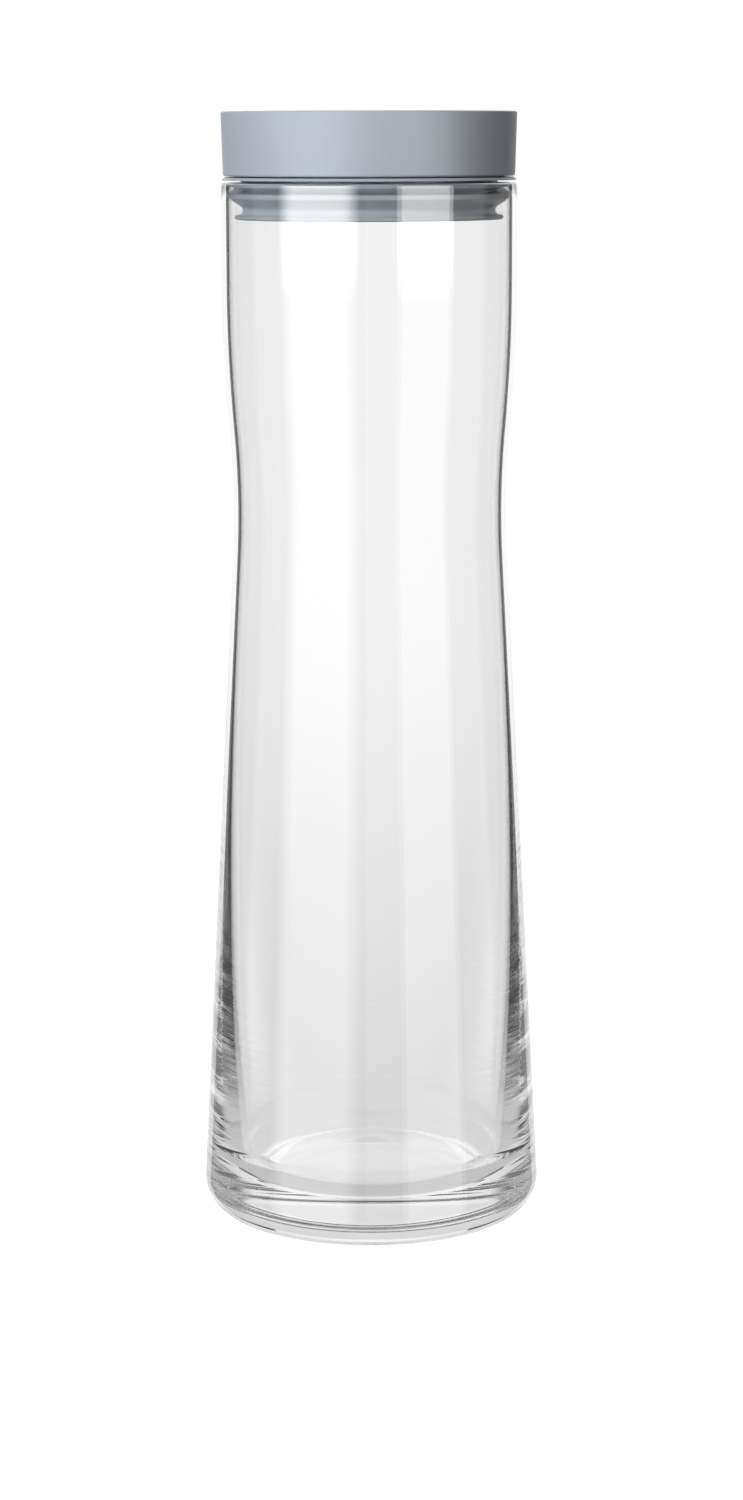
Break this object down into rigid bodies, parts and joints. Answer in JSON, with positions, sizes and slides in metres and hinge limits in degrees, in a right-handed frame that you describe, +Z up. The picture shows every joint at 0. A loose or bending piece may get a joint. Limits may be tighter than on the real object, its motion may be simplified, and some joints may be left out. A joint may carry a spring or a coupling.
{
  "type": "carafe with lid",
  "caption": "Clear waisted water carafe with a heavy base, closed by a grey press-in lid that a soft lipped sleeve seals in the neck.",
  "frame": {"origin": "centre of the standing plane under the foot", "axes": "+Z up along the carafe's axis, towards the lid; the pictured side faces -Y"},
  "size_m": [0.0888, 0.0888, 0.29],
  "materials": {
    "clear_glass": "clear, polished",
    "grey_plastic": "fine matte",
    "grey_silicone": "satin",
    "core_plastic": "matte"
  },
  "bodies": {
    "carafe": {"carafe_body": "clear_glass"},
    "lid": {"lid_cap": "grey_plastic", "seal_sleeve": "grey_silicone", "lid_core": "core_plastic"}
  },
  "joints": [
    {"name": "lid_lift", "type": "slide", "parent": "carafe", "child": "lid", "axis": [0, 0, 1], "range_m": [0, 0.12]}
  ]
}
